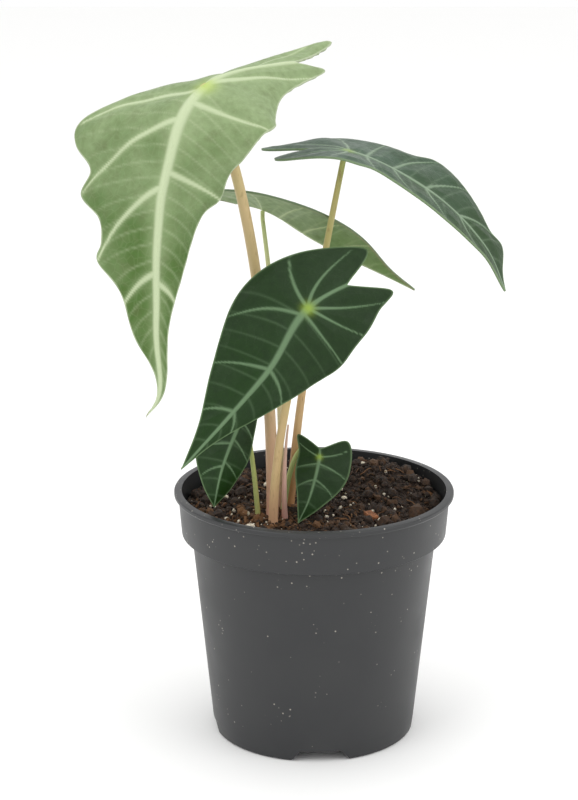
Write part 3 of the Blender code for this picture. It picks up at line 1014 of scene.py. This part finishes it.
@dataclass
class PottingMix:
    """Peat that fills the pot to just under its lip, loose and crumbly on top.

    The heap and the dip in its top are each a height, a place in x and y, and a spread.
    """

    level: float = 100.6
    radius: float = 55.3
    foot: float = 8.0
    heap: tuple[float, float, float, float] = (8.5, 27, 27, 420.0)
    dip: tuple[float, float, float, float] = (3.0, 52, -4, 160.0)
    fibre_reach: float = 52
    fibre_limit: float = 54
    crumbs: int = 5200
    fibres: int = 260
    fines: int = 330
    finish: Peat = field(default_factory=Peat)

    def height(self, x: float, y: float) -> float:
        """Find the height of the bed under its crumbs.

        Args:
            x: millimetres to the right of the pot's axis.
            y: millimetres behind it.

        Returns:
            The height above the pot's foot, in millimetres.
        """
        heap, dip = (
            deep * math.exp(-((x - at_x) ** 2 + (y - at_y) ** 2) / spread)
            for deep, at_x, at_y, spread in (self.heap, self.dip)
        )
        rough = 1.1 * noise.noise(Vector((x * 0.09, y * 0.09, 3.0)))
        return self.level + heap - dip + rough

    def build_bed(self, peat: bpy.types.Material) -> bpy.types.Object:
        """Model the bed: a fine lumpy top over sides that follow the pot.

        Args:
            peat: the bed's material.

        Returns:
            The bed, in metres.
        """
        rings, spokes = 90, 220
        points, tones = [(0.0, 0.0, self.height(0, 0))], [0.2]
        for ring in range(1, rings + 1):
            reach = self.radius * ring / rings
            for spoke in range(spokes):
                angle = math.tau * spoke / spokes
                x, y = reach * math.cos(angle), reach * math.sin(angle)
                lumps = 0.8 * noise.fractal(Vector((x * 0.35, y * 0.35, 1.0)), 0.8, 2.0, 4)
                points.append((x, y, self.height(x, y) + lumps - 0.3))
                tones.append(0.4 + 0.4 * noise.noise(Vector((x * 0.1, y * 0.1, 8.0))))
        sides = [(self.radius, 92.0), (50.8, 87.0), (42.2, self.foot), (20.0, self.foot)]
        for reach, high in sides:
            for spoke in range(spokes):
                angle = math.tau * spoke / spokes
                points.append((reach * math.cos(angle), reach * math.sin(angle), high))
                tones.append(0.2)
        points.append((0.0, 0.0, self.foot))
        tones.append(0.2)
        faces = [(0, 1 + spoke, 1 + (spoke + 1) % spokes) for spoke in range(spokes)]
        for ring in range(rings + len(sides) - 1):
            low, high = 1 + ring * spokes, 1 + (ring + 1) * spokes
            for spoke in range(spokes):
                after = (spoke + 1) % spokes
                faces.append((low + spoke, high + spoke, high + after, low + after))
        last, end = 1 + (rings + len(sides) - 1) * spokes, len(points) - 1
        faces += [(end, last + (spoke + 1) % spokes, last + spoke) for spoke in range(spokes)]
        piece = mesh_piece("peat_bed", np.array(points), faces)
        put_attribute(piece, "tone", np.array(tones))
        piece.data.materials.append(peat)
        in_metres(piece)
        bpy.ops.object.shade_smooth()
        finish_piece(piece, "peat", "potting_mix")
        return piece

    def scatter(
        self, name: str, count: int, seed: int, sizes: Flat, finish: bpy.types.Material
    ) -> bpy.types.Object:
        """Strew one modelled crumb over the bed, each copy turned, squashed and toned on its own.

        Args:
            name: the piece's name.
            count: how many crumbs.
            seed: what the scatter is drawn from.
            sizes: the smallest and the largest crumb across.
            finish: their material.

        Returns:
            The crumbs as one piece, in metres.
        """
        deselect()
        bpy.ops.mesh.primitive_ico_sphere_add(subdivisions=1, radius=0.5)
        crumb = bpy.context.active_object
        shape = np.array([vertex.co[:] for vertex in crumb.data.vertices])
        faces = np.array([face.vertices[:] for face in crumb.data.polygons])
        bpy.data.objects.remove(crumb, do_unlink=True)
        draw = np.random.default_rng(seed)
        points, turned, tones = [], [], []
        for index in range(count):
            reach = (self.radius - 1.2) * math.sqrt(draw.random())
            angle = draw.random() * math.tau
            x, y = reach * math.cos(angle), reach * math.sin(angle)
            size = sizes[0] + (sizes[1] - sizes[0]) * draw.random() ** 3
            turn, _ = np.linalg.qr(draw.normal(size=(3, 3)))
            turn = turn if np.linalg.det(turn) > 0 else -turn
            knocked = shape * draw.uniform(0.72, 1.15, (len(shape), 1)) * draw.uniform(0.6, 1.15, 3)
            place = np.array([x, y, self.height(x, y) + size * 0.22 + 0.2])
            points.append(knocked @ turn.T * size + place)
            turned.append(faces + index * len(shape))
            front_left = math.exp(-((x + 25) ** 2 + (y + 25) ** 2) / 500.0)
            tone = min(1.0, draw.random() * 0.75 + 0.55 * front_left)
            tones.append(np.full(len(shape), tone))
        piece = mesh_piece(name, np.vstack(points), np.vstack(turned))
        put_attribute(piece, "tone", np.concatenate(tones))
        piece.data.materials.append(finish)
        in_metres(piece)
        return piece

    def build_fibres(self, peat: bpy.types.Material) -> bpy.types.Object:
        """Model the short root and moss fibres that lie in the peat.

        Args:
            peat: their material.

        Returns:
            The fibres as one piece, in metres.
        """
        draw = random.Random(41)
        points, faces, tones = [], [], []
        for _ in range(self.fibres):
            reach = self.fibre_reach * math.sqrt(draw.random())
            angle = draw.random() * math.tau
            x, y = reach * math.cos(angle), reach * math.sin(angle)
            heading, long = draw.random() * math.tau, draw.uniform(2.5, 8)
            thick = draw.uniform(0.12, 0.3)
            start, steps, tone = len(points), 5, draw.uniform(0.5, 1.0)
            for step in range(steps):
                share = step / (steps - 1)
                heading += draw.uniform(-0.3, 0.3)
                px = x + math.cos(heading) * long * share
                py = y + math.sin(heading) * long * share
                if math.hypot(px, py) > self.fibre_limit:
                    px, py = x, y
                lift = self.height(px, py) + 1.0 + 0.8 * math.sin(math.pi * share)
                for corner in range(3):
                    round_by = math.tau * corner / 3
                    side = Vector((-math.sin(heading), math.cos(heading), 0))
                    side = side * math.cos(round_by) * thick
                    points.append((px + side.x, py + side.y, lift + math.sin(round_by) * thick))
                    tones.append(tone)
            for step in range(steps - 1):
                low, high = start + step * 3, start + step * 3 + 3
                faces += [
                    (low + c, low + (c + 1) % 3, high + (c + 1) % 3, high + c) for c in range(3)
                ]
            end = start + (steps - 1) * 3
            faces += [(start + 2, start + 1, start), (end, end + 1, end + 2)]
        piece = mesh_piece("peat_fibres", np.array(points), faces)
        put_attribute(piece, "tone", np.array(tones))
        piece.data.materials.append(peat)
        in_metres(piece)
        return piece

    def build(self, chalk: bpy.types.Material) -> None:
        """Model the bed and all that lies loose in it.

        Args:
            chalk: the material of the small perlite grains.
        """
        peat = self.finish.dress()
        self.build_bed(peat)
        for name, count, seed, sizes in (
            ("peat_crumbs_fine", self.crumbs, 5, (0.7, 2.6)),
            ("peat_crumbs_coarse", self.crumbs // 8, 6, (2.0, 5.0)),
            ("peat_clods", self.crumbs // 60, 7, (4.5, 8.5)),
        ):
            finish_piece(self.scatter(name, count, seed, sizes, peat), "peat")
        finish_piece(self.build_fibres(peat), "peat")
        finish_piece(self.scatter("perlite_fines", self.fines, 9, (0.5, 2.4), chalk), "perlite")


@dataclass
class LooseGrain:
    """A grain or a chip lying on the mix, made in the box of the CAD node that it stands for."""

    node: str
    slot: str
    seed: int
    rough: float = 0.16
    turn: float = 0.0
    block: bool = False

    def build(self, finish: bpy.types.Material) -> bpy.types.Object:
        """Model the grain.

        Args:
            finish: its material.

        Returns:
            The grain, in metres.
        """
        low, high = (Vector(corner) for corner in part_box(self.node))
        middle, size = (low + high) / 2, high - low
        deselect()
        if self.block:
            bpy.ops.mesh.primitive_cube_add(size=1)
        else:
            bpy.ops.mesh.primitive_ico_sphere_add(subdivisions=3, radius=0.5)
        piece = bpy.context.active_object
        piece.name = self.node + "_grain"
        if self.block:
            bpy.ops.object.mode_set(mode="EDIT")
            bpy.ops.mesh.bevel(offset=0.12, segments=2)
            bpy.ops.mesh.subdivide(number_cuts=4)
            bpy.ops.object.mode_set(mode="OBJECT")
            size = Vector((4.0 * MM, 8.5 * MM, size.z))
        for vertex in piece.data.vertices:
            spot = vertex.co * 3.2 + Vector((self.seed * 7.1, 0, 0))
            fine = 0.4 * self.rough * noise.noise(spot * 3)
            vertex.co *= 1 + self.rough * noise.noise(spot) + fine
        piece.scale = size
        piece.rotation_euler = (0, 0, self.turn)
        piece.location = middle - Vector((0, 0, 0.9 * MM))
        bpy.ops.object.transform_apply(location=True, rotation=True, scale=True)
        piece.data.materials.append(finish)
        bpy.ops.object.shade_smooth_by_angle(angle=math.radians(40))
        finish_piece(piece, self.slot, self.node)
        return piece


# ------------------------------ the plant


@dataclass
class Plant:
    """The whole plant: its blades, its stalks and its hidden rootstock."""

    blades: list[Blade]
    stalks: list[Stalk]

    def build(self) -> None:
        """Model every stalk and blade, and dress the rootstock."""
        for stalk in self.stalks:
            stalk.build()
        for blade in self.blades:
            blade.build()
        skin = Crumbly("corm_tunic_fibre", "#8a6240", "#4a3020", 1.4, (1.0, 1.0, 4.0)).dress()
        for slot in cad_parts["corm"].material_slots:
            slot.material = skin
        LOG.info("corm: CAD node kept, given its fibrous skin")


def blades() -> list[Blade]:
    """Design the six blades.

    Returns:
        The blades, the largest first.
    """
    left, right = Half.LEFT, Half.RIGHT
    return [
        Blade(
            name="blade_large",
            slot="pale_leaf",
            upper=SAGE_UPPER,
            midrib=[
                (4, 12, 291), (-44, -30, 285), (-60, -50, 247), (-63, -58, 196), (-62, -58, 168),
                (-68, -54, 155),
            ],
            faces=[(-1, -3, 9), (1, -8, 3)],
            ease=26,
            sinus=48,
            left=[
                (-60, 7), (-46, 11), (-30, 17), (-16, 27), (-6, 33), (6, 32), (22, 29), (32, 26),
                (46, 26), (56, 19), (80, 12), (100, 6), (122, 3),
            ],
            right=[
                (-74, 7), (-52, 14), (-26, 24), (-10, 30), (0, 34), (14, 39), (26, 47), (35, 45),
                (43, 35), (53, 36), (61, 26), (70, 24), (77, 25), (88, 15), (106, 9), (122, 2),
            ],
            lean=[
                (-75, -30, 25), (-50, -30, -10), (-20, -22, -40), (0, -12, -32), (26, -24, -20),
                (50, -35, -22), (140, -10, -10),
            ],
            veins={
                left: [(0, -50), (10, 0), (40, 46), (84, 92)],
                right: [(0, -62), (3, 27), (18, 52), (46, 76), (80, 92)],
            },
            fan_ends=(4, 5),
            vein_width=2.0,
            quilt=1.3,
            fine_spacing=6.5,
            rows=(80, 170),
            columns=80,
        ),
        Blade(
            name="blade_front",
            upper=DARK_UPPER,
            midrib=[(26, -24, 209), (-3, -41, 197), (-20, -54, 173), (-54, -60, 135)],
            faces=[(0, -9, 5), (0, -9, 5)],
            sinus=20,
            left=[(-36, 10), (-27, 15), (-14, 22), (10, 26), (26, 21), (44, 13), (65, 4)],
            right=[(-36, 10), (-15, 20), (8, 26), (26, 25), (46, 18), (66, 7)],
            lean=[(-36, 0, 0), (0, -15, 0), (26, -42, 0), (80, -45, 0)],
            veins={
                left: [(0, -30), (0, -14), (3, 8), (30, 38), (52, 60)],
                right: [(0, -30), (0, -8), (4, 20), (30, 42), (52, 60)],
            },
            fan_ends=(4, 3),
            vein_width=1.2,
            quilt=1.0,
            rows=(80, 150),
            columns=70,
        ),
        Blade(
            name="blade_right",
            upper=BLUE_UPPER,
            midrib=[(-22, 14, 251), (14, 10, 252), (48, 4, 236), (70, 0, 215), (80, -2, 195)],
            faces=[(3, 0, 9), (3, 0, 9)],
            sinus=16,
            left=[
                (-38, 11), (-18, 24), (4, 26), (22, 23), (32, 28), (42, 25), (60, 15), (68, 11),
                (76, 12), (84, 4),
            ],
            right=[(-30, 12), (-18, 19), (4, 25), (14, 17), (26, 17), (44, 16), (60, 12), (78, 5)],
            lean=[(-36, 0, -8), (0, 4, 0), (24, 14, -4), (60, 22, -10), (90, 25, -10)],
            veins={
                left: [(0, -30), (0, -8), (8, 12), (20, 34), (36, 50), (54, 70)],
                right: [(0, -24), (0, -6), (8, 14), (20, 32), (36, 50), (54, 68)],
            },
            fan_ends=(3, 3),
            vein_width=1.1,
            quilt=0.8,
        ),
        Blade(
            name="blade_back",
            slot="pale_leaf",
            upper=BLUE_UPPER,
            midrib=[(-50, 30, 229), (-22, 28, 224), (4, 26, 209), (44, 32, 188)],
            faces=[(4, 0, 9), (4, 0, 9)],
            sinus=12,
            left=[(-30, 11), (-12, 25), (6, 29), (24, 24), (42, 16), (60, 7)],
            right=[(-30, 11), (-12, 24), (6, 26), (24, 23), (42, 15), (60, 5)],
            lean=[(-30, 0, 22), (0, 0, 24), (24, 0, 40), (50, 0, 55), (76, 0, 55)],
            veins={
                left: [(0, -22), (0, -6), (8, 14), (20, 30), (34, 46)],
                right: [(0, -22), (0, -6), (8, 14), (20, 30), (34, 46)],
            },
            fan_ends=(3, 3),
            vein_width=1.0,
            quilt=0.7,
        ),
        Blade(
            name="blade_small_left",
            upper=DARK_UPPER,
            midrib=[(-25, -22, 161), (-30, -28, 148), (-38, -34, 128), (-42, -30, 109)],
            faces=[(0, -9, 3), (0, -9, 3)],
            ease=10,
            sinus=5,
            left=[(-9, 5), (5, 9), (18, 11), (32, 7)],
            right=[(-13, 10), (5, 15), (18, 15), (33, 7)],
            lean=[(-12, -35, -20), (20, -35, -20), (40, -30, -10)],
            veins={
                left: [(2, 8), (10, 18), (20, 28)],
                right: [(0, -6), (4, 10), (12, 20), (22, 30)],
            },
            fan_ends=(2, 2),
            thickness=0.7,
            vein_width=0.7,
            quilt=0.5,
            rows=(36, 80),
            columns=30,
        ),
        Blade(
            name="blade_small_right",
            upper=DARK_UPPER,
            midrib=[(2, -8, 138), (2, -20, 128), (-2, -28, 113), (-7, -30, 102)],
            faces=[(0, -9, 5), (0, -9, 5)],
            ease=8,
            sinus=4,
            left=[(-9, 12), (3, 14), (11, 12), (20, 6)],
            right=[(-13, 9), (-3, 9), (8, 9), (20, 5)],
            lean=[(-10, -10, -10), (10, -15, -10), (28, -10, -10)],
            veins={left: [(0, -5), (3, 7), (10, 15)], right: [(0, -8), (3, 6), (10, 15)]},
            fan_ends=(2, 2),
            thickness=0.7,
            vein_width=0.6,
            quilt=0.4,
            rows=(36, 80),
            columns=30,
        ),
    ]


def stalks() -> list[Stalk]:
    """Design the stalks and the young sheath.

    Returns:
        The six stalks, then the sheath.
    """
    drawn = (
        (
            "petiole_large", (2.5, 2.1), (-44, -30, 284.2),
            [(-18, -19, 87), (-16, -18, 160), (-25, 4, 235), (-43, -28, 282)],
            ("petiole_tan", "#d09c88", "#c0a67c", "#c4b47a", "#96804e"),
        ),
        (
            "petiole_front", (2.0, 1.5), (-3.2, -40.3, 196),
            [(-17, -25, 87), (-19, -30, 125), (-11, -31, 160), (-4, -38, 192)],
            ("petiole_yellow_tan", "#cf9e80", "#c0a674", "#b4b070", "#94784e"),
        ),
        (
            "petiole_right", (1.9, 1.2), (13.5, 9.8, 251.2),
            [(-11, -7, 87), (-9, -6, 140), (2, 2, 200), (12, 9, 249)],
            ("petiole_green_yellow", "#cc9468", "#c0a070", "#a8ac66", "#8c6a44"),
        ),
        (
            "petiole_back", (1.4, 0.9), (-22, 27.6, 223.2),
            [(-16, -12, 87), (-11, -10, 130), (-17, 10, 185), (-22, 26, 220)],
            ("petiole_pale_green", "#cf9c90", "#c4bc90", "#c8d296", "#a09060"),
        ),
        (
            "petiole_small_left", (1.2, 0.9), (-29.8, -27.4, 147.8),
            [(-23, -18, 87), (-24, -18, 110), (-26, -22, 132), (-29, -25, 146)],
            ("petiole_light_green", "#bcb87c", "#b4bc74", "#a8b868", "#9aa064"),
        ),
        (
            "petiole_small_right", (1.5, 0.8), (1.8, -19, 127.8),
            [(-14, -15, 87), (-13, -14, 118), (-7, -6, 136), (1, -14, 128)],
            ("petiole_soft_green", "#b4ba80", "#a8b874", "#a0b468", "#94a064"),
        ),
    )
    made = [
        Stalk(name, "stalk", StalkSkin(*colours), curve, radii, into)
        for name, radii, into, curve, colours in drawn
    ]
    papery = StalkSkin("sheath_papery_pink", "#d6a096", "#d0a898", "#c4a690", "#a87468", 0.5)
    route = [(-12, -21, 93), (-13, -23, 110), (-13, -24, 128), (-11, -23, 143)]
    return [*made, Stalk("sheath_pink", "sheath", papery, route, (1.5, 0.4))]


# ------------------------------ studio
LIGHT_AIM: Point = (0, 0, 0.15)
SENSOR = 36
PERLITE_GRAINS = 10

@dataclass(frozen=True)
class Studio:
    """A pale floor, soft light from above and both sides, and the camera."""

    camera_at: Point = (-0.0107, -0.912, 0.4074)
    camera_tilt: float = math.radians(74.07)
    lens: float = 100.48
    floor_half: float = 3.0

    def build_floor(self) -> None:
        """Lay the pale floor."""
        deselect()
        bpy.ops.mesh.primitive_plane_add(size=2 * self.floor_half, location=(0, 0, -0.0002))
        floor = bpy.context.active_object
        floor.name = "studio_floor"
        made, tree, shader = new_material("matt_white_board")
        # Matt board: even and near white, with a soft shadow under the pot.
        shader.inputs["Base Color"].default_value = srgb("#fbfbfa")
        shader.inputs["Roughness"].default_value = 0.9
        floor.data.materials.append(made)

    def build_light(self, name: str, place: Point, size: float, power: float) -> None:
        """Hang one soft square light that looks at the plant.

        Args:
            name: the light's name.
            place: where it hangs, in metres.
            size: its side, in metres.
            power: its power in watts.
        """
        data = bpy.data.lights.new(name, "AREA")
        data.size = size
        data.energy = power
        lamp = bpy.data.objects.new(name, data)
        lamp.location = place
        aim = Vector(LIGHT_AIM) - Vector(place)
        lamp.rotation_euler = aim.to_track_quat("-Z", "Y").to_euler()
        bpy.context.scene.collection.objects.link(lamp)

    def build(self) -> None:
        """Set up the floor, the lights, the surroundings and the camera."""
        self.build_floor()
        for name, place, size, power in (
            ("light_left", (-1.0, -0.9, 1.2), 0.9, 5.5),
            ("light_right", (1.1, -0.6, 0.9), 0.9, 3.5),
            ("light_top", (0.0, 0.2, 1.6), 1.2, 5),
        ):
            self.build_light(name, place, size, power)
        world = bpy.data.worlds.new("white_room")
        bpy.context.scene.world = world
        world.use_nodes = True
        surroundings = world.node_tree.nodes["Background"].inputs
        surroundings["Color"].default_value = (1, 1, 1, 1)
        surroundings["Strength"].default_value = 1.0
        data = bpy.data.cameras.new("camera")
        data.lens = self.lens
        data.sensor_width = SENSOR
        camera = bpy.data.objects.new("camera", data)
        camera.location = self.camera_at
        camera.rotation_euler = (self.camera_tilt, 0, 0)
        bpy.context.scene.collection.objects.link(camera)
        bpy.context.scene.camera = camera
        bpy.context.scene.view_settings.view_transform = "Standard"


def main() -> None:
    """Build every piece in order, and log each piece's face count."""
    logging.basicConfig(level=logging.INFO, format="%(message)s")
    Studio().build()
    Pot().build()
    chalk = Crumbly("blown_perlite", "#e4dccb", "#a89a84", 0.7).dress()
    PottingMix().build(chalk)
    for number in range(1, PERLITE_GRAINS + 1):
        LooseGrain(f"perlite_{number}", "perlite", number).build(chalk)
    bark = Crumbly("split_pine_bark", "#9a6038", "#4e2c18", 0.9, (3.0, 0.6, 3.0)).dress()
    LooseGrain("bark_chip", "bark", 31, 0.12, math.radians(20), True).build(bark)
    Plant(blades(), stalks()).build()
    deselect()
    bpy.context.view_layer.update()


if __name__ == "__main__":
    main()
